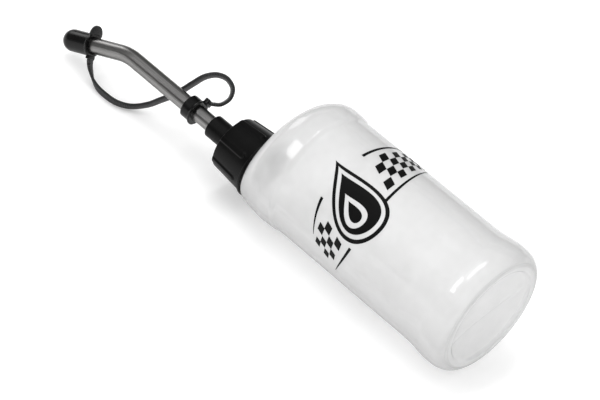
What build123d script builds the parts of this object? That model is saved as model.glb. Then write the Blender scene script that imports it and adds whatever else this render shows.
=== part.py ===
"""Fuel filler bottle: a blown bottle with an off-centre neck, a screw cap that carries a bent metal spout,
and a rubber tip cap held by a strap. Millimetres, +Z up, origin at the middle of the base on the body's axis,
front (the printed side) towards -Y, neck offset towards -X."""
import math
import os

from build123d import *

# bottle body
wall = 1.1
panel_r = 34.0
bumper_r = 35.1
base_r = 35.6
base_corner_r = 6.0
foot_ring_r = 29.0
push_up = 3.2
panel_low_z = 28.0
panel_high_z = 114.8
bumper_low_z = 117.5
bumper_high_z = 123.4
neck_offset = 15.5
collar_r = 16.4
collar_z = 140.7

# neck and its thread
neck_r = 12.0
neck_bore_r = 10.3
neck_top_z = 157.2
thread_pitch = 4.5
thread_height = 0.9
thread_turns = 1.5
thread_low_z = 146.2

# screw cap
cap_gap = 1.0
cap_low_z = collar_z + cap_gap
cap_top_z = 163.0
cap_top_r = 14.6
cap_low_r = 16.5
flange_r = 17.3
flange_h = 1.5
rib_count = 9
rib_w = 2.4
rib_proud = 0.7
rib_short_of_rim = 4.4
thread_clearance = 0.2
boss_r = 6.1
boss_top_z = 177.6

# cap seal
seal_t = 1.6
seal_gap = 0.03
seal_hole_r = 5.4

# spout tube
tube_r = 4.2
tube_bore_r = 3.4
tube_low_z = 155.8
bend_z = 239.2
bend_angle = 23.7
bend_r = 24.0
bend_azimuth = 142.0
tip_run = 36.0

# tip cap, strap and ring
tip_wall = 1.2
tip_gap = 0.04
tip_depth = 13.0
tip_length = 18.5
tip_roll = 21.3
tab_w = 9.4
tab_reach = 5.6
tab_t = 1.4
lip_r = 6.0
lip_h = 1.2
ring_z = 188.4
ring_len = 6.8
ring_wall = 1.9
ring_gap = 0.04
ring_lip_r = 7.0
strap_w = 5.0
strap_t = 1.1
root_reach = 7.2
ear_reach = 8.9
ear_h = 2.7
ear_w = 5.6
ear_drop = 0.6
lug_h = 2.0
end_gap = 0.15

cap_inner_r = neck_r + thread_height + thread_clearance
out = Vector(math.cos(math.radians(bend_azimuth)), math.sin(math.radians(bend_azimuth)), 0)
neck = Vector(-neck_offset, 0, 0)
bend_point = neck + Vector(0, 0, bend_z)
tip_dir = Vector(0, 0, 1) * math.cos(math.radians(bend_angle)) + out * math.sin(math.radians(bend_angle))
tube_end = bend_point + tip_dir * tip_run
tip_mouth = tube_end - tip_dir * tip_depth


def turned(points, at=Vector(0, 0, 0)):
    """A solid of revolution about Z from (radius, height) points, straight between them."""
    face = make_face(Polyline(*[(r, 0, z) for r, z in points], close=True))
    return Pos(at) * revolve(face, Axis.Z, 360)


def body_profile(inset):
    """The outline of the body up to the bumper ring, as an edge list closed on the axis."""
    i = inset
    r_foot = foot_ring_r
    low = push_up + i
    curve = [
        Spline((0, 0, low), (0.41 * r_foot, 0, low - 0.06 * push_up), (0.69 * r_foot, 0, low - 0.31 * push_up),
               (r_foot - 1.4, 0, i), tangents=((1, 0, 0), (1, 0, -0.12))),
    ]
    corner = base_r - base_corner_r
    curve.append(Line((r_foot - 1.4, 0, i), (corner, 0, i)))
    curve.append(ThreePointArc((corner, 0, i), (corner + (base_corner_r - i) * math.sin(math.radians(45)), 0,
                                                base_corner_r - (base_corner_r - i) * math.cos(math.radians(45))),
                               (base_r - i, 0, base_corner_r)))
    flare = panel_low_z - base_corner_r
    curve.append(Spline((base_r - i, 0, base_corner_r), (base_r - i, 0, base_corner_r + 0.23 * flare),
                        (panel_r + 0.22 * (base_r - panel_r) - i, 0, base_corner_r + 0.64 * flare),
                        (panel_r - i, 0, panel_low_z), tangents=((0, 0, 1), (0, 0, 1))))
    curve.append(Line((panel_r - i, 0, panel_low_z), (panel_r - i, 0, panel_high_z)))
    curve.append(Spline((panel_r - i, 0, panel_high_z), (bumper_r - i, 0, bumper_low_z),
                        tangents=((0, 0, 1), (0, 0, 1))))
    curve.append(Line((bumper_r - i, 0, bumper_low_z), (bumper_r - i, 0, bumper_high_z)))
    curve.append(Line((bumper_r - i, 0, bumper_high_z), (0, 0, bumper_high_z)))
    curve.append(Line((0, 0, bumper_high_z), (0, 0, low)))
    return curve


def shoulder(inset):
    """The lofted shoulder that slides from the round body over to the off-centre neck collar.
    Each station is three shares of the whole step: of its height, its sideways shift and its fall in radius."""
    stations = [(0.0, 0.0, 0.0), (0.295, 0.032, 0.043), (0.543, 0.129, 0.144), (0.757, 0.335, 0.348),
                (0.908, 0.632, 0.626), (1.0, 1.0, 1.0)]
    sections = []
    for rise, slide, narrow in stations:
        z = bumper_high_z + (collar_z - bumper_high_z) * rise - (inset if rise else 0)
        r = bumper_r + (collar_r - bumper_r) * narrow - inset
        sections.append(Pos(-neck_offset * slide, 0, z) * Circle(r))
    return loft(sections)


def helix_ridge(radius, low_z, turns, outward, height, root_w, crest_w):
    """One thread ridge, a trapezium swept along a helix about the neck's axis."""
    sign = 1 if outward else -1
    bite = 0.3
    path = Helix(pitch=thread_pitch, height=thread_pitch * turns, radius=radius)
    profile = Plane(origin=(radius, 0, 0), x_dir=(1, 0, 0), z_dir=(0, -1, 0)) * make_face(Polyline(
        (-sign * bite, -root_w / 2), (sign * height, -crest_w / 2), (sign * height, crest_w / 2),
        (-sign * bite, root_w / 2), close=True))
    return Pos(neck + Vector(0, 0, low_z)) * sweep(profile, path=path, is_frenet=True)


def make_bottle():
    outer = revolve(make_face(Wire(body_profile(0.0))), Axis.Z, 360)
    inner = revolve(make_face(Wire(body_profile(wall))), Axis.Z, 360)
    outer = outer + shoulder(0.0)
    inner = inner + shoulder(wall)
    collar = turned([(0, collar_z - 2), (collar_r - 2.2, collar_z - 2), (collar_r - 2.2, collar_z),
                     (neck_r + 0.9, collar_z + 0.5), (neck_r, collar_z + 1.6), (neck_r, neck_top_z - 0.5),
                     (neck_r - 0.5, neck_top_z), (0, neck_top_z)], neck)
    bore = Pos(neck + Vector(0, 0, collar_z - 4)) * Cylinder(
        neck_bore_r, neck_top_z - collar_z + 6, align=(Align.CENTER, Align.CENTER, Align.MIN))
    ridge = helix_ridge(neck_r, thread_low_z, thread_turns, True, thread_height, 2.0, 0.9)
    return outer + collar + ridge - inner - bore


def make_cap():
    under_top = neck_top_z + seal_t + seal_gap
    shell = turned([
        (cap_inner_r, cap_low_z), (flange_r - 0.3, cap_low_z), (flange_r, cap_low_z + 0.3),
        (flange_r, cap_low_z + flange_h - 0.3), (flange_r - 0.3, cap_low_z + flange_h),
        (cap_low_r, cap_low_z + flange_h), (cap_top_r, cap_top_z - 0.7), (cap_top_r - 0.7, cap_top_z),
        (boss_r + 0.5, cap_top_z), (boss_r, cap_top_z + 0.5), (boss_r, boss_top_z - 0.5),
        (boss_r - 0.5, boss_top_z), (tube_r, boss_top_z), (tube_r, under_top), (cap_inner_r, under_top)], neck)
    low = cap_low_z + rib_short_of_rim
    high = cap_top_z - 0.7
    lean = math.atan2(cap_low_r - cap_top_r, cap_top_z - 0.7 - cap_low_z - flange_h)
    ribs = []
    for k in range(rib_count):
        turn = 360.0 * k / rib_count + 16
        r_low = cap_low_r - (low - cap_low_z - flange_h) * math.tan(lean)
        bar = Pos(r_low - 1.0, 0, low) * Rot(0, -math.degrees(lean), 0)
        block = Box(1.0 + rib_proud, rib_w, (high - low) / math.cos(lean),
                    align=(Align.MIN, Align.CENTER, Align.MIN))
        foot = Rot(0, 90, 0) * Cylinder(rib_w / 2, 1.0 + rib_proud, align=(Align.CENTER, Align.CENTER, Align.MIN))
        ribs.append(Pos(neck) * Rot(0, 0, turn) * bar * (block + foot))
    ridge = helix_ridge(cap_inner_r, thread_low_z - thread_pitch / 2, thread_turns, False, thread_height, 1.9, 0.8)
    cap = shell
    for bar in ribs:
        cap = cap + bar
    return cap + ridge


def make_seal():
    z = neck_top_z + seal_gap
    return turned([(seal_hole_r, z), (cap_inner_r - 0.15, z), (cap_inner_r - 0.15, z + seal_t),
                   (seal_hole_r, z + seal_t)], neck)


def spout_path():
    """The tube's centre line: up the neck's axis, one bend, then straight to the open end."""
    cut = bend_r * math.tan(math.radians(bend_angle / 2))
    a = bend_point - Vector(0, 0, cut)
    b = bend_point + tip_dir * cut
    centre = a + out * bend_r
    half = math.radians(bend_angle / 2)
    mid = centre - out * (bend_r * math.cos(half)) + Vector(0, 0, bend_r * math.sin(half))
    start = neck + Vector(0, 0, tube_low_z)
    return Wire([Line(start, a), ThreePointArc(a, mid, b), Line(b, tube_end)]), start


def make_tube():
    path, start = spout_path()
    outer = sweep(Plane(origin=start, z_dir=(0, 0, 1)) * Circle(tube_r), path=path)
    inner = sweep(Plane(origin=start, z_dir=(0, 0, 1)) * Circle(tube_bore_r), path=path)
    return outer - inner


def tip_plane():
    across = tip_dir.cross(Vector(0, 0, 1)).normalized()
    turn = math.radians(tip_roll)
    x_dir = across * math.cos(turn) + tip_dir.cross(across) * math.sin(turn)
    return Plane(origin=tip_mouth, x_dir=x_dir, z_dir=tip_dir)


def make_tip_cap():
    r = tube_r + tip_gap
    dome_r = r + tip_wall
    straight = tip_length - dome_r
    outline = Wire([
        Line((r, 0, 0), (lip_r, 0, 0)), Line((lip_r, 0, 0), (lip_r, 0, lip_h)),
        Line((lip_r, 0, lip_h), (dome_r, 0, lip_h + 0.5)), Line((dome_r, 0, lip_h + 0.5), (dome_r, 0, straight)),
        ThreePointArc((dome_r, 0, straight), (dome_r * math.sin(math.radians(45)), 0,
                                              straight + dome_r * math.cos(math.radians(45))), (0, 0, tip_length)),
        Line((0, 0, tip_length), (0, 0, tip_depth + 0.5)), Line((0, 0, tip_depth + 0.5), (r, 0, tip_depth + 0.5)),
        Line((r, 0, tip_depth + 0.5), (r, 0, 0))])
    thimble = revolve(make_face(outline), Axis.Z, 360)
    tab_r = tab_w / 2
    tab = Pos(0, 1 - lip_r, 0) * (
        Box(tab_w, tab_reach + 1 - tab_r, tab_t, align=(Align.CENTER, Align.MAX, Align.MIN))
        + Pos(0, tab_r - tab_reach - 1, 0) * Cylinder(tab_r, tab_t, align=(Align.CENTER, Align.CENTER, Align.MIN)))
    tab = tab - Cylinder(lip_r - 0.4, 3 * tab_t)
    lug = Pos(0, lip_r - 0.6, 0) * Box(
        strap_w + 0.3, root_reach - lip_r + 0.6, lug_h, align=(Align.CENTER, Align.MIN, Align.MIN))
    return tip_plane().location * (thimble + tab + lug)


def make_ring():
    r = tube_r + ring_gap
    body = turned([(r, ring_z), (ring_lip_r, ring_z), (ring_lip_r, ring_z + 0.9), (r + ring_wall, ring_z + 1.6),
                   (r + ring_wall, ring_z + ring_len), (r, ring_z + ring_len)], neck)
    ear = Pos(neck + Vector(ring_lip_r - 1.5, 0, ring_z - ear_drop)) * Box(
        ear_reach - ring_lip_r + 1.5, ear_w, ear_h, align=(Align.MIN, Align.CENTER, Align.MIN))
    return body + ear


def strap_twist(f):
    """How far the strap has turned edge-on, in degrees, at a fraction of its length from the tip cap."""
    marks = [(0.0, 55.0), (0.07, 90.0), (0.16, 122.0), (0.52, 124.0), (0.68, 110.0), (0.78, 92.0), (1.0, 90.0)]
    for (f0, a0), (f1, a1) in zip(marks, marks[1:]):
        if f <= f1:
            return a0 + (a1 - a0) * (f - f0) / (f1 - f0)
    return marks[-1][1]


def make_strap():
    """A flat ribbon, a stack of turned rectangles along a free curve from the tip cap's lug to the ring's ear.
    The bends are shares of the height from the ring to the tip cap's mouth, counted from the ring."""
    side = tip_plane().y_dir
    root = tip_mouth + tip_dir * (lug_h / 2) + side * (root_reach + end_gap)
    ear_end = neck + Vector(ear_reach - 0.82 * strap_t, 0, ring_z - ear_drop - end_gap)
    span = tip_mouth.Z - ring_z
    bends = [
        (-0.246, 0.150, 0.921), (-0.284, 0.181, 0.871), (-0.303, 0.205, 0.796), (-0.299, 0.232, 0.683),
        (-0.274, 0.246, 0.598), (-0.231, 0.239, 0.522), (-0.160, 0.212, 0.437), (-0.089, 0.164, 0.369),
        (-0.014, 0.120, 0.301), (0.068, 0.075, 0.244), (0.143, 0.024, 0.192), (0.221, -0.019, 0.139),
        (0.282, -0.036, 0.072), (0.308, -0.029, -0.003), (0.284, -0.007, -0.072), (0.220, 0.011, -0.100),
        (0.150, 0.011, -0.081)]
    ring_centre = neck + Vector(0, 0, ring_z)
    route = Spline(
        root, root + side * (0.64 * strap_t), root + side * (1.8 * strap_t) - tip_dir * (0.36 * strap_t),
        *[ring_centre + Vector(*b) * span for b in bends],
        ear_end + Vector(0.41, 0.02, -1.45) * strap_t, ear_end + Vector(0.09, 0, -0.55) * strap_t, ear_end)
    facing = Vector(0.07, 0.91, 0.41).normalized()
    steps = 56
    sections = []
    for k in range(steps + 1):
        f = k / steps
        along = (route % f).normalized()
        across = facing.cross(along).normalized()
        deep = along.cross(across)
        a = -math.radians(strap_twist(f))
        wide = across * math.cos(a) + deep * math.sin(a)
        sections.append(Plane(origin=route @ f, x_dir=wide, z_dir=along) * Rectangle(strap_w, strap_t))
    print("strap length", round(route.length, 1))
    return loft(sections[::-1], ruled=True)


os.makedirs("parts", exist_ok=True)
parts = {
    "bottle": make_bottle(),
    "screw_cap": make_cap(),
    "cap_seal": make_seal(),
    "spout_tube": make_tube(),
    "tip_cap": make_tip_cap(),
    "strap_ring": make_ring(),
    "cap_strap": make_strap(),
}
for name, solid in parts.items():
    export_step(solid, f"parts/{name}.step")
    box = solid.bounding_box()
    print(name, "valid", solid.is_valid, "solids", len(solid.solids()), "volume", round(solid.volume, 1),
          "box", [round(v, 2) for v in (*box.min, *box.max)])
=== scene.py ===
import bpy
import math
import numpy as np
from mathutils import Matrix, Vector


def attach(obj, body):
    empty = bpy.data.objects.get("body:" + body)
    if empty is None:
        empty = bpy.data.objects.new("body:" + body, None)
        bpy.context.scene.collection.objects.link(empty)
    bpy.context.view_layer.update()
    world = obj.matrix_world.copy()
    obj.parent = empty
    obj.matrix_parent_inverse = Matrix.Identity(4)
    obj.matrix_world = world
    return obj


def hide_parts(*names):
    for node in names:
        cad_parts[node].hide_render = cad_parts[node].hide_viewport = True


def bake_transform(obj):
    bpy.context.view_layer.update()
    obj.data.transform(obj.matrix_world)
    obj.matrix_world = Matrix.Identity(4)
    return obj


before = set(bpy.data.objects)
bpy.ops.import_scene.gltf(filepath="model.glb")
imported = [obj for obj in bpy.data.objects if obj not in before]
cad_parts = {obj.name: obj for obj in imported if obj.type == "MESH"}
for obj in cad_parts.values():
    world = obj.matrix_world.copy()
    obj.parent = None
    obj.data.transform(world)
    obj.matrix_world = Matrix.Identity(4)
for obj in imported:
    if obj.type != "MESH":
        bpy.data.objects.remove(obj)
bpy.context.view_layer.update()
scene = bpy.context.scene
scene.view_settings.view_transform = "Standard"

mm = 0.001
neckX = -15.5  # neck, cap and spout stand this far off the body's axis
bend = {"z": 239.2, "angle": 23.7, "radius": 24.0, "azimuth": 142.0, "run": 36.0}


def turned(degrees):
    # the direction at an azimuth, level with the base
    return np.array([math.cos(math.radians(degrees)), math.sin(math.radians(degrees)), 0.0])


up = np.array([0.0, 0.0, 1.0])
out = turned(bend["azimuth"])
tipDir = up * math.cos(math.radians(bend["angle"])) + out * math.sin(math.radians(bend["angle"]))
bendPoint = np.array([neckX, 0.0, bend["z"]])
tubeEnd = bendPoint + tipDir * bend["run"]


# Materials

def lin(hexText):
    # sRGB byte to linear light: (c + 0.055) / 1.055 to the power 2.4 above the toe
    parts = [int(hexText[i:i + 2], 16) / 255 for i in (0, 2, 4)]
    return tuple(c / 12.92 if c <= 0.04045 else ((c + 0.055) / 1.055) ** 2.4 for c in parts) + (1.0,)


def lighter(colour, times, plus):
    return tuple(min(1.0, c * times + plus) for c in colour[:3]) + (1.0,)


def per(size):
    # a pattern's scale from the size of its patches in millimetres
    return 1 / (size * mm)


def add(tree, kind, inputs=None, **settings):
    item = tree.nodes.new("ShaderNode" + kind)
    for key, value in settings.items():
        setattr(item, key, value)
    for key, value in (inputs or {}).items():
        socket = item.inputs[key]
        if isinstance(value, bpy.types.NodeSocket):
            tree.links.new(value, socket)
        else:
            socket.default_value = value
    return item


def newMaterial(name):
    material = bpy.data.materials.new(name)
    material.use_nodes = True
    tree = material.node_tree
    tree.nodes.clear()
    return material, tree, add(tree, "OutputMaterial")


def place(tree):
    return add(tree, "TexCoord").outputs["Object"]


def ramp(tree, source, stops):
    item = add(tree, "ValToRGB", {"Fac": source})
    band = item.color_ramp
    while len(band.elements) < len(stops):
        band.elements.new(0.5)
    for element, (at, value) in zip(band.elements, stops):
        element.position = at
        element.color = (value, value, value, 1)
    return item.outputs["Color"]


def mapRange(tree, source, low, high):
    return add(tree, "MapRange", {"Value": source, "To Min": low, "To Max": high}).outputs["Result"]


def blownPolythene(name, thin, dense, tint, paintedEdgeShade):
    # low-density polythene, blown into a polished mould: milky, so part of the light goes straight through
    # and the rest is scattered, under a glossy skin; at a slant its way through the wall is longer, which
    # makes the wall denser there, and towards the outline its colour is painted greyer as a painted shade;
    # the wall is uneven, in clouds and in faint lines up the body
    material, tree, output = newMaterial(name)
    where = place(tree)
    cloud = add(tree, "TexNoise", {"Vector": where, "Scale": per(35.7), "Detail": 3.0, "Roughness": 0.55})
    streak = add(tree, "Mapping", {"Vector": where, "Scale": (per(4.55), per(4.55), per(71.4))})
    lines = add(tree, "TexNoise", {"Vector": streak.outputs["Vector"], "Scale": 1.0, "Detail": 2.0})
    height = add(tree, "Math", {0: cloud.outputs["Fac"], 1: lines.outputs["Fac"]}, operation="ADD")
    bump = add(tree, "Bump", {"Height": height.outputs["Value"], "Strength": 0.1, "Distance": 0.3 * mm})
    facing = add(tree, "LayerWeight", {"Blend": 0.5}).outputs["Facing"]
    slant = ramp(tree, facing, [(0.0, 0.0), (0.36, 0.25), (0.46, 0.85), (0.7, 1.0)])
    # painted shade: the wall's colour is mixed greyer towards the outline, by the facing angle
    rim = ramp(tree, facing, [(0.08, 0.0), (0.35, 0.35), (0.65, 0.8), (1.0, 1.0)])
    tone = add(tree, "MixRGB", {"Fac": rim, "Color1": tint, "Color2": paintedEdgeShade}).outputs["Color"]
    body = add(tree, "BsdfDiffuse", {"Color": tone, "Roughness": 0.4, "Normal": bump.outputs["Normal"]})
    through = add(tree, "BsdfTranslucent", {"Color": tone, "Normal": bump.outputs["Normal"]})
    milk = add(tree, "MixShader", {0: 0.5, 1: body.outputs["BSDF"], 2: through.outputs["BSDF"]})
    clearPart = add(tree, "BsdfTransparent", {"Color": (0.98, 0.98, 0.98, 1.0)})
    uneven = mapRange(tree, cloud.outputs["Fac"], -0.22, 0.22)
    density = mapRange(tree, slant, thin, dense)
    haze = add(tree, "Math", {0: density, 1: uneven}, operation="ADD", use_clamp=True)
    wall = add(tree, "MixShader", {0: haze.outputs["Value"], 1: clearPart.outputs["BSDF"],
                                   2: milk.outputs["Shader"]})
    rough = mapRange(tree, cloud.outputs["Fac"], 0.05, 0.11)
    gloss = add(tree, "BsdfGlossy", {"Roughness": rough, "Normal": bump.outputs["Normal"]})
    shine = add(tree, "Fresnel", {"IOR": 1.5, "Normal": bump.outputs["Normal"]})
    behind = add(tree, "NewGeometry").outputs["Backfacing"]
    front = add(tree, "Math", {0: 1.0, 1: behind}, operation="SUBTRACT")  # only the outer skin shines
    share = add(tree, "Math", {0: shine.outputs["Fac"], 1: front.outputs["Value"]}, operation="MULTIPLY")
    skin = add(tree, "MixShader", {0: share.outputs["Value"], 1: wall.outputs["Shader"],
                                   2: gloss.outputs["BSDF"]})
    tree.links.new(skin.outputs["Shader"], output.inputs["Surface"])
    return material


def mouldedBlack(name, colour, rough, grain, depth, sheen):
    # polypropylene or rubber from an eroded steel mould, or rubber sheet for the seal, black right through:
    # an even, very fine grain that breaks up its satin sheen, with broad, faint differences of polish; the
    # grain is drawn some five times as coarse as it is, so that it shows
    material, tree, output = newMaterial(name)
    where = place(tree)
    fine = add(tree, "TexNoise", {"Vector": where, "Scale": per(grain), "Detail": 4.0, "Roughness": 0.6})
    broad = add(tree, "TexNoise", {"Vector": where, "Scale": per(11.1), "Detail": 2.0})
    tone = add(tree, "MixRGB", {"Fac": broad.outputs["Fac"], "Color1": colour,
                                "Color2": lighter(colour, 1.7, 0.001)})
    bump = add(tree, "Bump", {"Height": fine.outputs["Fac"], "Strength": 0.35, "Distance": depth * mm})
    shader = add(tree, "BsdfPrincipled", {
        "Base Color": tone.outputs["Color"], "Specular IOR Level": sheen,
        "Roughness": mapRange(tree, broad.outputs["Fac"], rough - 0.07, rough + 0.09),
        "Normal": bump.outputs["Normal"]})
    tree.links.new(shader.outputs["BSDF"], output.inputs["Surface"])
    return material


def ribbedRubber(name, colour, rough, pitch):
    # the strap's rubber, moulded with fine ribs across it: a sine of the length coordinate, paler on the
    # crests, partly dust and wear and partly a painted highlight, which gives a dull grey face beside the
    # black of the plain rubber
    material, tree, output = newMaterial(name)
    where = place(tree)
    along = add(tree, "UVMap", uv_map="length").outputs["UV"]
    metres = add(tree, "SeparateXYZ", {"Vector": along}).outputs["X"]
    phase = add(tree, "Math", {0: metres, 1: 2 * math.pi * per(pitch)}, operation="MULTIPLY")
    rib = add(tree, "Math", {0: phase.outputs["Value"]}, operation="SINE")
    dust = add(tree, "TexNoise", {"Vector": where, "Scale": per(1.11), "Detail": 3.0})
    both = add(tree, "Math", {0: rib.outputs["Value"], 1: dust.outputs["Fac"]}, operation="ADD")
    crest = both.outputs["Value"]
    bump = add(tree, "Bump", {"Height": crest, "Strength": 0.7, "Distance": 0.12 * mm})
    # dust and wear, and a painted highlight: the rib crests are coloured paler
    tone = add(tree, "MixRGB", {"Fac": ramp(tree, crest, [(0.35, 0.0), (0.95, 1.0)]), "Color1": colour,
                                "Color2": lighter(colour, 2.2, 0.02)})
    shader = add(tree, "BsdfPrincipled", {"Base Color": tone.outputs["Color"], "Roughness": rough,
                                          "Specular IOR Level": 0.4, "Normal": bump.outputs["Normal"]})
    tree.links.new(shader.outputs["BSDF"], output.inputs["Surface"])
    return material


def drawnAluminium(name, colour, girth):
    # tube drawn through a die: long, dark and light draw lines that follow it, a faint mottling of oxide and
    # a satin lustre; the lines are drawn about 0.6 mm wide, coarser than they are, so that they show
    material, tree, output = newMaterial(name)
    where = place(tree)
    along = add(tree, "UVMap", uv_map="length").outputs["UV"]
    stretch = add(tree, "Mapping", {"Vector": along, "Scale": (girth / 0.574, per(111), 1.0)})
    lines = add(tree, "TexNoise", {"Vector": stretch.outputs["Vector"], "Scale": 1.0, "Detail": 4.0,
                                   "Roughness": 0.7})
    stain = add(tree, "TexNoise", {"Vector": where, "Scale": per(7.14), "Detail": 4.0})
    both = add(tree, "Math", {0: lines.outputs["Fac"], 1: stain.outputs["Fac"]}, operation="ADD")
    streak = ramp(tree, lines.outputs["Fac"], [(0.36, 0.0), (0.5, 0.5), (0.62, 1.0)])
    mixed = add(tree, "MixRGB", {"Fac": 0.3, "Color1": streak, "Color2": both.outputs["Value"]})
    tone = add(tree, "MixRGB", {"Fac": mixed.outputs["Color"], "Color1": lighter(colour, 0.45, 0.0),
                                "Color2": colour})
    bump = add(tree, "Bump", {"Height": lines.outputs["Fac"], "Strength": 0.4, "Distance": 0.08 * mm})
    shader = add(tree, "BsdfPrincipled", {
        "Base Color": tone.outputs["Color"], "Metallic": 1.0,
        "Roughness": mapRange(tree, lines.outputs["Fac"], 0.24, 0.42), "Normal": bump.outputs["Normal"]})
    tree.links.new(shader.outputs["BSDF"], output.inputs["Surface"])
    return material


def printedInk(name, colour):
    # solvent ink, screen-printed on the wall: flat, dense black with the faint weave of the screen and
    # hardly a sheen
    material, tree, output = newMaterial(name)
    where = place(tree)
    weave = add(tree, "TexNoise", {"Vector": where, "Scale": per(0.417), "Detail": 2.0})
    broad = add(tree, "TexNoise", {"Vector": where, "Scale": per(6.25), "Detail": 3.0})
    tone = add(tree, "MixRGB", {"Fac": broad.outputs["Fac"], "Color1": colour,
                                "Color2": lighter(colour, 1.0, 0.004)})
    bump = add(tree, "Bump", {"Height": weave.outputs["Fac"], "Strength": 0.2, "Distance": 0.03 * mm})
    shader = add(tree, "BsdfPrincipled", {
        "Base Color": tone.outputs["Color"], "Normal": bump.outputs["Normal"], "Specular IOR Level": 0.12,
        "Roughness": mapRange(tree, broad.outputs["Fac"], 0.4, 0.55)})
    tree.links.new(shader.outputs["BSDF"], output.inputs["Surface"])
    return material


tubeR, tubeBore = 4.2, 3.4
finish = {
    # the last colour of each polythene is the painted shade towards its outline
    "wall": blownPolythene("blownPolythene", 0.56, 0.9, lin("FDFDFD"), lin("D2D2D2")),
    "base": blownPolythene("blownPolytheneBase", 0.6, 0.8, lin("FCFCFC"), lin("F0F0F0")),
    "inside": blownPolythene("polytheneInside", 0.2, 0.6, lin("FBFBFB"), lin("E2E2E2")),
    "cap": mouldedBlack("mouldedPolypropylene", lin("020202"), 0.36, 0.526, 0.05, 0.16),
    "rubber": mouldedBlack("mouldedRubber", lin("030303"), 0.26, 0.769, 0.03, 0.26),
    "seal": mouldedBlack("punchedNitrile", lin("222222"), 0.7, 0.667, 0.06, 0.5),
    "strap": ribbedRubber("ribbedStrapRubber", lin("151516"), 0.5, 0.8),
    "tube": drawnAluminium("drawnAluminium", lin("9A9998"), 2 * math.pi * tubeR),
    "ink": printedInk("screenPrintInk", lin("030303")),
}
print("stage materials")


# Mesh tools

def makeMesh(name, points, faces, material):
    mesh = bpy.data.meshes.new(name)
    mesh.from_pydata((np.asarray(points) * mm).tolist(), [], faces)
    mesh.materials.append(material)
    mesh.update()
    mesh.shade_smooth()
    obj = bpy.data.objects.new(name, mesh)
    scene.collection.objects.link(obj)
    return obj


def getPoints(mesh):
    co = np.empty(len(mesh.vertices) * 3)
    mesh.vertices.foreach_get("co", co)
    return co.reshape(-1, 3) / mm


def setPoints(mesh, points):
    mesh.vertices.foreach_set("co", (points * mm).ravel())
    mesh.update()


def gridFaces(rows, cols, wrapRows=False, wrapCols=False):
    # the quads between neighbouring rows and columns, closed round where asked
    i, j = np.meshgrid(np.arange(rows if wrapRows else rows - 1), np.arange(cols if wrapCols else cols - 1),
                       indexing="ij")
    this, after = i * cols, (i + 1) % rows * cols
    side = (j + 1) % cols
    quads = np.stack([this + j, this + side, after + side, after + j], axis=-1)
    return [tuple(q) for q in quads.reshape(-1, 4).tolist()]


def smoothPath(points, step):
    # Catmull-Rom through the points, resampled evenly: each span is a cubic whose slopes at its ends are
    # half the chord between the neighbours
    p = np.asarray(points, float)
    ext = np.vstack([2 * p[0] - p[1], p, 2 * p[-1] - p[-2]])
    t = np.linspace(0, 1, 24, endpoint=False)[:, None]
    spans = []
    for a, b, c, d in zip(ext, ext[1:], ext[2:], ext[3:]):
        spans.append(0.5 * (2 * b + (c - a) * t + (2 * a - 5 * b + 4 * c - d) * t ** 2
                            + (3 * b - a - 3 * c + d) * t ** 3))
    line = np.vstack(spans + [p[-1:]])
    length = np.r_[0, np.cumsum(np.linalg.norm(np.diff(line, axis=0), axis=1))]
    marks = np.linspace(0, length[-1], max(2, int(round(length[-1] / step)) + 1))
    return np.column_stack([np.interp(marks, length, line[:, k]) for k in range(line.shape[1])])


def rounded(points, radius, step):
    # a polygon line with its corners cut to arcs: each corner is a quadratic from one side to the other
    p = [np.asarray(q, float) for q in points]
    t = np.linspace(0, 1, 6)[:, None]
    line = [p[0]]
    for a, b, c in zip(p, p[1:], p[2:]):
        before, after = np.linalg.norm(a - b), np.linalg.norm(c - b)
        r = min(radius, before * 0.45, after * 0.45)
        line += list((1 - t) ** 2 * (b + (a - b) / before * r) + 2 * t * (1 - t) * b
                     + t ** 2 * (b + (c - b) / after * r))
    line.append(p[-1])
    dense = [line[0]]
    for a, b in zip(line, line[1:]):
        n = max(1, int(math.ceil(np.linalg.norm(b - a) / step)))
        dense += [a + (b - a) * (i / n) for i in range(1, n + 1)]
    return np.array(dense)


def lathe(name, profile, material, centre=(0.0, 0.0), segments=160, shift=None, closed=False, push=None):
    # rings of radius r at height z about the centre; push adds a radial offset from angle, z and ring number
    profile = np.asarray(profile, float)
    angle = np.linspace(0, 2 * math.pi, segments, endpoint=False)
    r, z = profile[:, 0][:, None], profile[:, 1][:, None]
    off = push(angle[None, :], z, np.arange(len(profile))[:, None]) if push else 0.0
    moved = np.zeros_like(z) if shift is None else np.asarray(shift)[:, None]
    x = centre[0] + moved + (r + off) * np.cos(angle)
    y = centre[1] + (r + off) * np.sin(angle)
    grid = np.stack([x, y, np.broadcast_to(z, x.shape)], axis=2).reshape(-1, 3)
    return makeMesh(name, grid, gridFaces(len(profile), segments, wrapRows=closed, wrapCols=True), material)


def joinAll(name, parts):
    for item in bpy.context.selected_objects:
        item.select_set(False)
    for item in parts:
        item.select_set(True)
    bpy.context.view_layer.objects.active = parts[0]
    bpy.ops.object.join()
    parts[0].name = name
    return parts[0]


def bevelBox(name, size, middle, material, width):
    # a block about its middle, its edges softened
    signs = np.array([(i, j, k) for i in (-1, 1) for j in (-1, 1) for k in (-1, 1)])
    faces = [(0, 1, 3, 2), (4, 6, 7, 5), (0, 4, 5, 1), (2, 3, 7, 6), (0, 2, 6, 4), (1, 5, 7, 3)]
    box = makeMesh(name, np.array(middle) + signs * np.array(size) / 2, faces, material)
    soft = box.modifiers.new("edges", "BEVEL")
    soft.width, soft.segments = width * mm, 3
    bpy.context.view_layer.objects.active = box
    bpy.ops.object.modifier_apply(modifier="edges")
    return box


def distances(line):
    return np.r_[0, np.cumsum(np.linalg.norm(np.diff(np.asarray(line), axis=0), axis=1))] * mm


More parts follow.
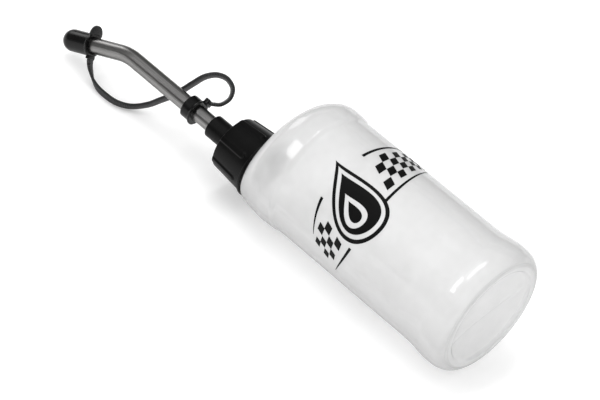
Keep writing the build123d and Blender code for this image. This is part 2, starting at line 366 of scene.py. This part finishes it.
def lengthCoordinates(obj, cols, distance, around):
    # one coordinate is the share of the way round, the other the distance along in metres, by vertex number;
    # the last quad of a ring ends at a share of one
    layer = obj.data.uv_layers.new(name="length")
    index = np.empty(len(obj.data.loops), dtype=np.int32)
    obj.data.loops.foreach_get("vertex_index", index)
    row = np.minimum(index // cols, len(distance) - 1)
    share = (index % cols) / cols
    corner = np.arange(len(index)) % 4
    share = np.where((share == 0) & ((corner == 1) | (corner == 2)), 1.0, share)
    uv = np.column_stack([share, distance[row]] if around else [distance[row], share])
    layer.data.foreach_set("uv", uv.astype(np.float32).ravel())


# Bottle

bottle = {
    "wall": 1.1, "segments": 200,
    "footR": 29.0, "pushUp": 3.2, "weldAzimuth": 26.0, "weldH": 0.2, "weldW": 0.8,
    "cornerFrom": 29.535, "cornerR": 6.0, "cornerH": 8.8, "ledgeR": 31.0, "ledgeH": 0.3,
    "flare": [(35.535, 8.3), (35.58, 9.8), (35.6, 11.5), (35.5, 14), (35.02, 17.5), (34.52, 21.5),
              (34.22, 26), (34.13, 30)],
    "panelR": 34.0, "panelLow": 30.0, "panelHigh": 114.0, "draft": 0.13,
    "stepLow": 114.2, "stepHigh": 117.8,
    "bumper": [(34.74, 117.8), (34.83, 119.4), (34.92, 121.0), (35.0, 122.6)],
    "shoulder": [(35.05, 123.8, 0), (35.0, 125.2, -0.1), (34.3, 128.5, -0.5), (32.4, 132.8, -2.0),
                 (28.6, 136.5, -5.2), (23.4, 139.1, -9.8), (18.4, 140.5, -13.9), (15.3, 141.0, neckX)],
    "neckR": 12.0, "boreR": 10.3, "neckTop": 157.2,
}
thread = {"low": 146.2, "pitch": 4.5, "turns": 1.5, "tall": 0.9}


def panelRadius(z):
    # the label panel narrows a little towards the bumper, as moulds have draft
    b = bottle
    share = (np.asarray(z, float) - b["panelLow"]) / (b["panelHigh"] - b["panelLow"])
    return b["panelR"] + b["draft"] * (1 - 2 * share)


def bottleOutline(inset):
    # rows of radius, height and sideways shift, from the base's middle to the collar
    b, i = bottle, inset
    foot, high = b["footR"], b["pushUp"]
    fine = 0.5 if i == 0 else 1.5
    base = smoothPath([(0, high + i), (12, high - 0.2 + i), (foot - 9, high - 0.8 + i),
                       (foot - 4.5, 1.75 + i), (foot - 3.0, 1.25 + i), (foot - 2.2, 0.5 + i),
                       (foot - 1.4, 0.05 + i), (foot - 0.2, i)], fine)
    turn = np.radians(np.linspace(0, 86, 30 if i == 0 else 12))
    corner = np.column_stack([b["cornerFrom"] + (b["cornerR"] - i) * np.sin(turn),
                              b["cornerH"] - (b["cornerH"] - i) * np.cos(turn)])
    if i == 0:
        corner[:, 1] += b["ledgeH"] * np.exp(-((corner[:, 0] - b["ledgeR"]) / 0.3) ** 2)
    flare = smoothPath([(r - i, z) for r, z in b["flare"]], fine)
    panel = [(panelRadius(z) - i, z) for z in np.arange(b["panelLow"] + 2, b["panelHigh"] - 0.5, 3.0)]
    t = np.linspace(0, 1, 14)
    low, high = float(panelRadius(b["panelHigh"])), b["bumper"][0][0]
    step = np.column_stack([low - i + (high - low) * t * t * (3 - 2 * t),
                            b["stepLow"] + (b["stepHigh"] - b["stepLow"]) * t])
    plain = np.vstack([base, corner, flare, panel, step, [(r - i, z) for r, z in b["bumper"][1:]]])
    plain = np.column_stack([plain, np.zeros(len(plain))])
    top = smoothPath([(r - i, z - (i if z > 125 else 0), s) for r, z, s in b["shoulder"]], 1.0)
    return np.vstack([plain, top])


def threadRidge(angle, z, low, crest, root):
    # a thread ridge from 0 to 1: a trapezium in height that follows low + pitch * angle / 2 pi, faded at
    # both ends
    total = np.zeros(np.broadcast(angle, z).shape)
    for k in range(int(thread["turns"]) + 2):
        along = angle / (2 * math.pi) + k
        near = np.abs(z - (low + thread["pitch"] * along))
        ridge = np.clip((root / 2 - near) / ((root - crest) / 2), 0, 1)
        fade = np.clip((thread["turns"] - along) * 9, 0, 1) * np.clip(along * 9, 0, 1)
        total = np.maximum(total, ridge * fade)
    return total


def weldLine(points, isOuterBase):
    # the mould's parting weld across the base: a low ridge, a bell curve of the distance from the weld
    b = bottle
    along = turned(b["weldAzimuth"])
    across = points[:, 1] * along[0] - points[:, 0] * along[1]
    radius = np.hypot(points[:, 0], points[:, 1])
    ends = np.clip((b["footR"] - 2 - radius) / 3, 0, 1)
    bell = np.exp(-(across / b["weldW"]) ** 2)
    onBase = isOuterBase & (points[:, 2] < b["pushUp"] + 0.1) & (radius < b["footR"] - 2.5)
    points[:, 2] -= onBase * b["weldH"] * bell * ends
    return points


def makeBottle():
    b = bottle
    outer = bottleOutline(0.0)
    neckLine = rounded([(13.6, 141.25), (12.6, 141.6), (b["neckR"], 142.6), (b["neckR"], b["neckTop"]),
                        (b["boreR"], b["neckTop"]), (b["boreR"], 139.8)], 0.45, 0.4)
    neckRows = np.column_stack([neckLine, np.full(len(neckLine), neckX)])
    inner = bottleOutline(b["wall"])[::-1]
    rows = np.vstack([outer, neckRows, inner[inner[:, 1] < 139.6]])
    insideFrom = len(outer) + int(np.argmax(neckLine[:, 0] < b["boreR"] + 0.1))

    def push(angle, z, row):
        onNeck = (row >= len(outer)) & (row < insideFrom - 3)
        return thread["tall"] * threadRidge(angle, z, thread["low"], 0.9, 2.0) * onNeck

    obj = lathe("bottle_shell", rows[:, :2], finish["wall"], segments=b["segments"], shift=rows[:, 2],
                push=push)
    obj.data.materials.append(finish["inside"])
    obj.data.materials.append(finish["base"])
    which = np.zeros(len(obj.data.polygons), dtype=np.int32)
    which[insideFrom * b["segments"]:] = 1
    which[:int(np.argmax(outer[:, 0] > b["footR"])) * b["segments"]] = 2
    obj.data.polygons.foreach_set("material_index", which)
    points = getPoints(obj.data)
    setPoints(obj.data, weldLine(points, np.arange(len(points)) < len(outer) * b["segments"]))
    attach(obj, "bottle")
    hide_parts("bottle")


makeBottle()
print("stage bottle")


# Print: a generic fuel drop between chequered bands

label = {
    "azimuth": -93.0, "z": 80.0, "lift": 0.07, "tilt": -24.0,
    "rimOuter": (33, 45, 0.0), "rimInner": (28.6, 39.5, -0.7), "core": (24.6, 33, -1.6),
    "window": (0.56, -2.4, -4.0), "glint": (7.5, 12, -2.4, -5.8),
    "slant": 0.42, "bandFrom": 18.0, "linesFrom": 14.5, "linesAt": 13.2, "lineW": 1.5,
    "bands": [{"side": -1, "squares": 4, "first": 4.4, "shrink": 0.92, "reach": 19.0},
              {"side": 1, "squares": 9, "first": 5.2, "shrink": 0.935, "reach": 40.0}],
}


def onPanel(u, v):
    # u millimetres round the panel and v up from the label's middle, just proud of the wall
    angle = math.radians(label["azimuth"]) + np.asarray(u, float) / bottle["panelR"]
    z = label["z"] + np.asarray(v, float) + 0 * angle
    r = panelRadius(z) + label["lift"]
    return np.stack([r * np.cos(angle), r * np.sin(angle), z], axis=-1)


def strip(lower, upper, cols):
    # a band between two curves of the same length, cut into small quads
    t = np.linspace(0, 1, cols)[:, None, None]
    grid = lower[None] * (1 - t) + upper[None] * t
    return onPanel(grid[..., 0], grid[..., 1]).reshape(-1, 3), gridFaces(cols, len(lower))


def dropCurve(width, height, low):
    # a drop standing on its round end: half the width times sin a times sin(a/2) to the power 1.6
    a = np.linspace(0, 2 * math.pi, 73)
    x = width / 2 * np.sin(a) * np.abs(np.sin(a / 2)) ** 1.6 * 1.25
    return np.column_stack([x, height / 2 * np.cos(a) + low])


def dropStrips():
    tilt = math.radians(label["tilt"])
    turn = np.array([[math.cos(tilt), math.sin(tilt)], [-math.sin(tilt), math.cos(tilt)]])
    core = dropCurve(*label["core"])
    share, windowU, windowV = label["window"]
    wide, tall, glintU, glintV = label["glint"]
    glint = dropCurve(wide, tall, 0)
    pairs = [(dropCurve(*label["rimOuter"]), dropCurve(*label["rimInner"]), 4),
             (core, core * share + [windowU, windowV], 9),
             (glint + [glintU, glintV], glint * [0.0, 0.7] + [glintU, glintV], 5)]
    return [strip(a @ turn, b @ turn, cols) for a, b, cols in pairs]


def bandStrips(side, squares, first, shrink, reach):
    # squares that shrink away from the drop in a chequered pattern, between two tapered lines
    found = []
    share = np.linspace(0, 1, 5)
    u0 = side * label["bandFrom"]
    for c in range(squares):
        size = first * shrink ** c
        edge = u0 + side * size * share
        for r in range(c % 2, 4, 2):
            v0, v1 = (r - 2) * size * 0.92, (r - 1) * size * 0.92
            found.append(strip(np.column_stack([edge + label["slant"] * v0, np.full(5, v0)]),
                               np.column_stack([edge + label["slant"] * v1, np.full(5, v1)]), 3))
        u0 += side * size
    f = np.linspace(0, 1, 60)
    for v in (label["linesAt"], -label["linesAt"]):
        u = side * (label["linesFrom"] + reach * f) + label["slant"] * v
        middle = v * (1 - 0.36 * f ** 1.3)
        half = (label["lineW"] * (1 - f) ** 0.6 + 0.12) / 2
        found.append(strip(np.column_stack([u, middle - half]), np.column_stack([u, middle + half]), 3))
    return found


def makePrint():
    pieces = dropStrips()
    for band in label["bands"]:
        pieces += bandStrips(**band)
    points, faces, start = [], [], 0
    for p, f in pieces:
        points.append(p)
        faces += [tuple(start + k for k in quad) for quad in f]
        start += len(p)
    obj = makeMesh("panel_print", np.vstack(points), faces, finish["ink"])
    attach(obj, "bottle")


makePrint()
print("stage print")


# Screw cap and seal

cap = {"low": 141.7, "top": 163.0, "bossTop": 177.6, "lowR": 16.5, "topR": 14.6, "flangeR": 17.3,
       "flangeH": 1.5, "innerR": 13.1, "under": 158.83, "bossR": 6.1, "segments": 360,
       "bars": 7, "barPhase": -100.8, "barW": 3.1, "barProud": 0.75, "barFrom": 4.6, "barMidR": 15.6}


def makeCap():
    c = cap
    ledge = c["low"] + c["flangeH"]
    line = rounded([(tubeR, c["bossTop"]), (c["bossR"], c["bossTop"]), (c["bossR"], c["top"]),
                    (c["topR"], c["top"]), (c["lowR"], ledge + 0.1), (c["flangeR"], ledge),
                    (c["flangeR"], c["low"]), (c["innerR"], c["low"]), (c["innerR"], c["under"]),
                    (tubeR, c["under"])], 0.45, 0.3)
    # the boss's wall is straight, so every second ring along it can go
    onBoss = abs(line[:, 0] - c["bossR"]) < 1e-6
    onBoss &= (line[:, 1] > c["top"] + 1) & (line[:, 1] < c["bossTop"] - 1)
    line = line[~(onBoss & (np.arange(len(line)) % 2 == 1))]
    onSkirt = (line[:, 0] > c["topR"] - 0.5) & (line[:, 1] > ledge + 0.2)
    firstInner = int(np.argmax((line[:, 0] <= c["innerR"] + 0.01) & (line[:, 1] < c["low"] + 1)))

    def push(angle, z, row):
        # each bar is a rounded box in arc length, with a half-round foot above the flange
        bars = np.zeros(np.broadcast(angle, z).shape)
        fall = np.maximum(c["low"] + c["barFrom"] + c["barW"] / 2 - z, 0)
        for k in range(c["bars"]):
            mid = math.radians(c["barPhase"] + 360 * k / c["bars"])
            arc = (np.mod(angle - mid + math.pi, 2 * math.pi) - math.pi) * c["barMidR"]
            bars = np.maximum(bars, 1 / (1 + np.exp((np.hypot(arc, fall) - c["barW"] / 2) / 0.13)))
        rim = np.clip((c["top"] + 0.02 - z) / 0.5, 0, 1)
        inside = (row > firstInner) & (z < c["under"] - 0.4) & (z > c["low"] + 0.2)
        ridge = threadRidge(angle, z, thread["low"] - thread["pitch"] / 2, 0.8, 1.9)
        return bars * onSkirt[row] * rim * c["barProud"] - thread["tall"] * ridge * inside

    obj = lathe("cap_shell", line, finish["cap"], (neckX, 0.0), c["segments"], closed=True, push=push)
    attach(obj, "cap")
    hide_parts("screw_cap")


makeCap()
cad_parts["cap_seal"].data.materials.clear()
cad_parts["cap_seal"].data.materials.append(finish["seal"])
print("stage cap")


# Spout tube

def spoutLine():
    # straight up, round an arc in the bend's plane, and straight on to the tip
    angle = math.radians(bend["angle"])
    cut = bend["radius"] * math.tan(angle / 2)
    start = bendPoint - up * cut
    turn = np.linspace(0, angle, 20)[:, None]
    arc = start + out * bend["radius"] * (1 - np.cos(turn)) + up * bend["radius"] * np.sin(turn)
    low = np.array([neckX, 0, 0]) + up * np.linspace(155.8, start[2] - 1, 30)[:, None]
    far = bendPoint + tipDir * np.linspace(cut + 1, bend["run"], 12)[:, None]
    return np.vstack([low, arc, far])


def sweepPipe(name, line, radius, bore, material, segments):
    # circles square to the line, carried along without twist; the bore comes back inside, with softened rims
    along = np.gradient(line, axis=0)
    along /= np.linalg.norm(along, axis=1)[:, None]
    side = np.array([0.1, 0.9, 0.2])
    sides = []
    for t in along:
        side = side - t * (side @ t)
        side = side / np.linalg.norm(side)
        sides.append(side)
    sides = np.array(sides)
    other = np.cross(along, sides)
    angle = np.linspace(0, 2 * math.pi, segments, endpoint=False)[None, :, None]

    def rings(r, order, pull=0.0):
        circle = np.cos(angle) * sides[order][:, None] + np.sin(angle) * other[order][:, None]
        return ((line + along * pull)[order][:, None] + r * circle).reshape(-1, 3)

    n = len(line)
    rim = [(radius - 0.12, 0.1), (bore + 0.12, 0.1)]
    points = [rings(radius, np.arange(n))]
    points += [rings(r, [n - 1], pull) for r, pull in rim]
    points.append(rings(bore, np.arange(n)[::-1]))
    points += [rings(r, [0], -pull) for r, pull in rim[::-1]]
    faces = gridFaces(2 * n + 4, segments, wrapRows=True, wrapCols=True)
    return makeMesh(name, np.vstack(points), faces, material)


def makeSpout():
    line, segments = spoutLine(), 64
    obj = sweepPipe("spout_pipe", line, tubeR, tubeBore, finish["tube"], segments)
    lengthCoordinates(obj, segments, distances(line), True)
    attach(obj, "cap")
    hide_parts("spout_tube")


makeSpout()
print("stage spout")


# Tip cap, in its own axes: the middle of its mouth at zero, the tab towards -Y, the strap towards +Y

tip = {"depth": 13.0, "length": 18.9, "roll": 21.3, "lipR": 6.2, "lipH": 1.2, "wallR": 5.7, "boreR": 4.24,
       "tabW": 9.4, "tabReach": 4.0, "tabT": 1.4, "tabFrom": 4.9, "ribPitch": 0.75,
       "lugFrom": 5.4, "lugReach": 7.2, "lugH": 2.0, "lugZ": 0.3}
strapSize = {"wide": 5.0, "thick": 1.45, "edge": 0.25}
mouth = tubeEnd - tipDir * tip["depth"]
tipRoll = math.radians(tip["roll"])
level = np.cross(tipDir, up) / np.linalg.norm(np.cross(tipDir, up))
tipX = level * math.cos(tipRoll) + np.cross(tipDir, level) * math.sin(tipRoll)
tipY = np.cross(tipDir, tipX)


def makeTab():
    # a tongue in the mouth's plane: its outline runs out, round its end and back, with softened faces and
    # with ribs on the face towards the bottle
    t = tip
    reach, thick, r = t["lipR"] + t["tabReach"], t["tabT"], t["tabW"] / 2
    a = np.linspace(0, math.pi, 25)[1:-1]
    sides = np.linspace(t["tabFrom"], reach - r, 10)
    outline = np.vstack([np.column_stack([np.full(10, r), sides]),
                         np.column_stack([r * np.cos(a), reach - r + r * np.sin(a)]),
                         np.column_stack([np.full(10, -r), sides[::-1]])])
    middle = np.array([0, (t["tabFrom"] + reach) / 2])
    layers = np.array([(0.80, 0.0), (0.95, 0.06), (1.0, 0.25), (1.0, thick - 0.25), (0.95, thick - 0.06),
                       (0.80, thick)])
    scaled = np.column_stack([layers[:, 0], 0.5 + layers[:, 0] / 2])[:, None]
    flat = middle + (outline - middle) * scaled
    n = len(outline)
    height = np.repeat(layers[:, 1:], n, axis=1)
    points = np.stack([flat[..., 0], -flat[..., 1], height], axis=-1).reshape(-1, 3)
    faces = gridFaces(len(layers), n, wrapCols=True)
    faces += [tuple(range(n))[::-1], tuple(range((len(layers) - 1) * n, len(layers) * n))]
    parts = [makeMesh("tongue", points, faces, finish["strap"])]
    for k in range(int((reach - t["tabFrom"] - 2.2) / t["ribPitch"])):
        y = t["tabFrom"] + 1.6 + t["ribPitch"] * k
        past = max(0.0, y - reach + r)
        half = math.sqrt(max(0.1, r * r - past ** 2)) - 0.9
        if half >= 0.8:
            parts.append(bevelBox("rib", (2 * half, 0.32, 0.24), (0, -y, -0.03), finish["strap"], 0.08))
    return parts


def makeTipCap():
    # a thimble: lip, wall and dome outside, and a blind bore back to the lip
    t = tip
    dome = np.radians(np.linspace(0, 90, 18))[1:-1]
    straight = t["length"] - t["wallR"]
    wall = rounded([(t["boreR"], 0), (t["lipR"], 0), (t["lipR"], t["lipH"]), (t["wallR"], t["lipH"] + 0.5),
                    (t["wallR"], straight)], 0.3, 0.6)
    cover = np.column_stack([t["wallR"] * np.cos(dome), straight + t["wallR"] * np.sin(dome)])
    blind = t["depth"] + 0.5
    inside = [(0.02, t["length"]), (0.02, blind), (t["boreR"], blind), (t["boreR"], 0.3)]
    body = lathe("tip_body", np.vstack([wall, cover, inside]), finish["rubber"], segments=96, closed=True)
    lug = bevelBox("lug", (strapSize["wide"] + 0.3, t["lugReach"] - t["lugFrom"], t["lugH"]),
                   (0, (t["lugReach"] + t["lugFrom"]) / 2, t["lugZ"]), finish["rubber"], 0.3)
    obj = joinAll("tip_thimble", [body] + makeTab() + [lug])
    setPoints(obj.data, mouth + getPoints(obj.data) @ np.array([tipX, tipY, tipDir]))
    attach(obj, "tip")
    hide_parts("tip_cap")


makeTipCap()
print("stage tip cap")


# Ring and strap

ring = {"z": 188.4, "length": 6.8, "boreR": 4.24, "wall": 1.9, "lipR": 7.0, "lipH": 0.9,
        "earFrom": 5.5, "earReach": 8.7, "earH": 2.7, "earW": 5.6, "earDrop": 1.5}


def makeRing():
    r = ring
    outerR, top = r["boreR"] + r["wall"], r["z"] + r["length"]
    line = rounded([(r["boreR"], r["z"]), (r["lipR"], r["z"]), (r["lipR"], r["z"] + r["lipH"]),
                    (outerR, r["z"] + 1.7), (outerR, top), (r["boreR"], top)], 0.3, 0.4)
    body = lathe("ring_body", line, finish["rubber"], (neckX, 0.0), 96, closed=True)
    ear = bevelBox("ear", (r["earReach"] - r["earFrom"], r["earW"], r["earH"]),
                   (neckX + (r["earReach"] + r["earFrom"]) / 2, 0, r["z"] - r["earDrop"] + r["earH"] / 2),
                   finish["rubber"], 0.45)
    obj = joinAll("strap_collar", [body, ear])
    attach(obj, "cap")
    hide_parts("strap_ring")


makeRing()

strap = {
    "route": [(-33.2, 10.8, 254.6), (-36.0, 12.3, 250.7), (-37.7, 12.0, 244.4), (-37.5, 12.1, 235.4),
              (-35.6, 13.4, 229.4), (-32.3, 15.3, 225.0), (-27.0, 14.9, 219.7), (-21.9, 11.8, 214.9),
              (-16.5, 8.6, 210.0), (-10.6, 5.4, 205.9), (-5.2, 1.7, 202.2), (0.4, -1.4, 198.4),
              (4.8, -2.6, 193.6), (6.6, -2.1, 188.2), (4.9, -0.5, 183.2), (0.3, 0.8, 181.2),
              (-4.7, 0.8, 182.6)],
    "twist": [(0.0, 62.0), (0.07, 84.0), (0.16, 118.0), (0.33, 108.0), (0.45, 113.0), (0.68, 113.0),
              (0.8, 108.0), (1.0, 98.0)],
    "facing": (0.07, 0.91, 0.41),
}


def makeStrap():
    # a flat ribbon from the lug to the ear; its width turns about the line by the twist, measured from
    # broadside
    root = mouth - tipDir * 0.2 + tipY * (tip["lugReach"] - 0.3)
    end = np.array([neckX + ring["earReach"] - 0.9, 0, ring["z"] - 1.2])
    points = [root, root + tipY * 1.0, root + tipY * 2.2 - tipDir * 0.4] + strap["route"]
    points += [end + [0.45, 0.02, -1.7], end + [0.1, 0, -0.8], end]
    line = smoothPath(points, 0.2)
    along = np.gradient(line, axis=0)
    along /= np.linalg.norm(along, axis=1)[:, None]
    across = np.cross(np.array(strap["facing"]), along)
    across /= np.linalg.norm(across, axis=1)[:, None]
    deep = np.cross(along, across)
    n = len(line)
    twist = -np.radians(np.interp(np.linspace(0, 1, n), *zip(*strap["twist"])))
    twist = np.convolve(np.pad(twist, 20, mode="edge"), np.ones(41) / 41, mode="valid")[:, None]
    wide = across * np.cos(twist) + deep * np.sin(twist)
    flat = np.cross(along, wide)
    w, t, e = strapSize["wide"] / 2, strapSize["thick"] / 2, strapSize["edge"]
    half = [(-w, -t + e), (-w + e, -t), (0, -t), (w - e, -t), (w, -t + e)]
    section = np.array(half + [(-x, -y) for x, y in half])
    grid = line[:, None] + section[None, :, :1] * wide[:, None] + section[None, :, 1:] * flat[:, None]
    m = len(section)
    faces = gridFaces(n, m, wrapCols=True) + [tuple(range(m))[::-1], tuple(range((n - 1) * m, n * m))]
    obj = makeMesh("leash_ribbon", grid.reshape(-1, 3), faces, finish["strap"])
    lengthCoordinates(obj, m, distances(line), False)
    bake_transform(obj)
    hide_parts("cap_strap")


makeStrap()
print("stage strap")


# Camera, floor and light, all placed relative to the bottle as it lies

view = {"azimuth": -94.2665, "elevation": -24.3469, "roll": -49.9899, "aim": (-0.01602, 0.0, 0.11564),
        "distance": 1.95275, "lens": 240.0}


def makeCamera():
    # looks from an azimuth and elevation at a point on the body, rolled about its own line of sight
    elevation, roll = math.radians(view["elevation"]), math.radians(view["roll"])
    back = turned(view["azimuth"]) * math.cos(elevation) + up * math.sin(elevation)
    right = np.cross(up, back) / np.linalg.norm(np.cross(up, back))
    right = right * math.cos(roll) + np.cross(back, right) * math.sin(roll)
    data = bpy.data.cameras.new("camera")
    data.lens, data.sensor_width = view["lens"], 36.0
    data.clip_start, data.clip_end = 0.05, 20.0
    obj = bpy.data.objects.new("camera", data)
    pose = Matrix(np.column_stack([right, np.cross(back, right), back]).tolist()).to_4x4()
    pose.translation = np.array(view["aim"]) + back * view["distance"]
    obj.matrix_world = pose
    scene.collection.objects.link(obj)
    scene.camera = obj


floor = {"azimuth": -50.0, "touch": 0.0357, "size": 3.0, "middle": (0, 0, 0.13), "glow": 0.14}


def makeFloor():
    # the sheet that the bottle lies on, against its flared foot; clear from behind, and slightly bright to
    # the camera
    half = floor["size"] / 2
    mesh = bpy.data.meshes.new("floor")
    corners = [(-half, -half, 0), (half, -half, 0), (half, half, 0), (-half, half, 0)]
    mesh.from_pydata(corners, [], [(0, 1, 2, 3)])
    obj = bpy.data.objects.new("floor", mesh)
    scene.collection.objects.link(obj)
    normal = Vector(turned(floor["azimuth"]))
    turn = Vector((0, 0, 1)).rotation_difference(normal).to_matrix().to_4x4()
    turn.translation = Vector(floor["middle"]) - normal * floor["touch"]
    obj.matrix_world = turn
    material, tree, output = newMaterial("paleFloor")
    grain = add(tree, "TexNoise", {"Vector": place(tree), "Scale": per(167), "Detail": 3.0})
    tone = add(tree, "MixRGB", {"Fac": grain.outputs["Fac"], "Color1": lin("F7F7F7"),
                                "Color2": lin("FBFBFB")})
    seen = mapRange(tree, add(tree, "LightPath").outputs["Is Camera Ray"], 0.0, floor["glow"])
    glow = add(tree, "Emission", {"Color": (1, 1, 1, 1), "Strength": seen})
    paper = add(tree, "BsdfDiffuse", {"Color": tone.outputs["Color"]})
    matt = add(tree, "AddShader", {0: paper.outputs["BSDF"], 1: glow.outputs["Emission"]})
    clear = add(tree, "BsdfTransparent")
    behind = add(tree, "NewGeometry").outputs["Backfacing"]
    both = add(tree, "MixShader", {0: behind, 1: matt.outputs["Shader"], 2: clear.outputs["BSDF"]})
    tree.links.new(both.outputs["Shader"], output.inputs["Surface"])
    mesh.materials.append(material)


lamps = {
    "frontBox": {"at": (-0.03, -2.84, 1.05), "aim": (0, 0, 0.065), "size": (1.4, 0.19), "radiance": 9.0},
    "overBox": {"at": (1.67, -2.34, 0.72), "aim": (0, 0, 0.01), "size": (2.2, 0.5), "radiance": 6.0},
    "tipBox": {"at": (1.38, -0.6, 2.82), "aim": (-0.02, 0, 0.25), "size": (1.35, 0.97), "radiance": 3.2},
}


def addLamp(name, at, aim, size, radiance):
    # a softbox that faces its aim, with its long side level with the base; power = radiance * pi * area
    data = bpy.data.lights.new(name, "AREA")
    data.shape, data.size, data.size_y = "RECTANGLE", size[0], size[1]
    data.energy = radiance * math.pi * size[0] * size[1]
    obj = bpy.data.objects.new(name, data)
    away = (Vector(at) - Vector(aim)).normalized()
    side = Vector((0, 0, 1)).cross(away).normalized()
    obj.matrix_world = Matrix.Translation(at) @ Matrix((side, away.cross(side), away)).transposed().to_4x4()
    scene.collection.objects.link(obj)


room = {"seen": 1.0, "inGloss": 0.22, "light": 0.93}


def makeRoom():
    # a white room: full white behind the object, dim in reflections, and between the two as light
    world = bpy.data.worlds.new("studio")
    scene.world = world
    world.use_nodes = True
    tree = world.node_tree
    tree.nodes.clear()
    rays = add(tree, "LightPath")
    unseen = mapRange(tree, rays.outputs["Is Glossy Ray"], room["light"], room["inGloss"])
    strength = mapRange(tree, rays.outputs["Is Camera Ray"], unseen, room["seen"])
    sky = add(tree, "Background", {"Color": (1, 1, 1, 1), "Strength": strength})
    tree.links.new(sky.outputs["Background"], add(tree, "OutputWorld").inputs["Surface"])


makeCamera()
makeFloor()
for lampName, lamp in lamps.items():
    addLamp(lampName, **lamp)
makeRoom()
scene.cycles.transparent_max_bounces = 24  # the light crosses four walls and more
scene.cycles.max_bounces = 10
print("stage light")
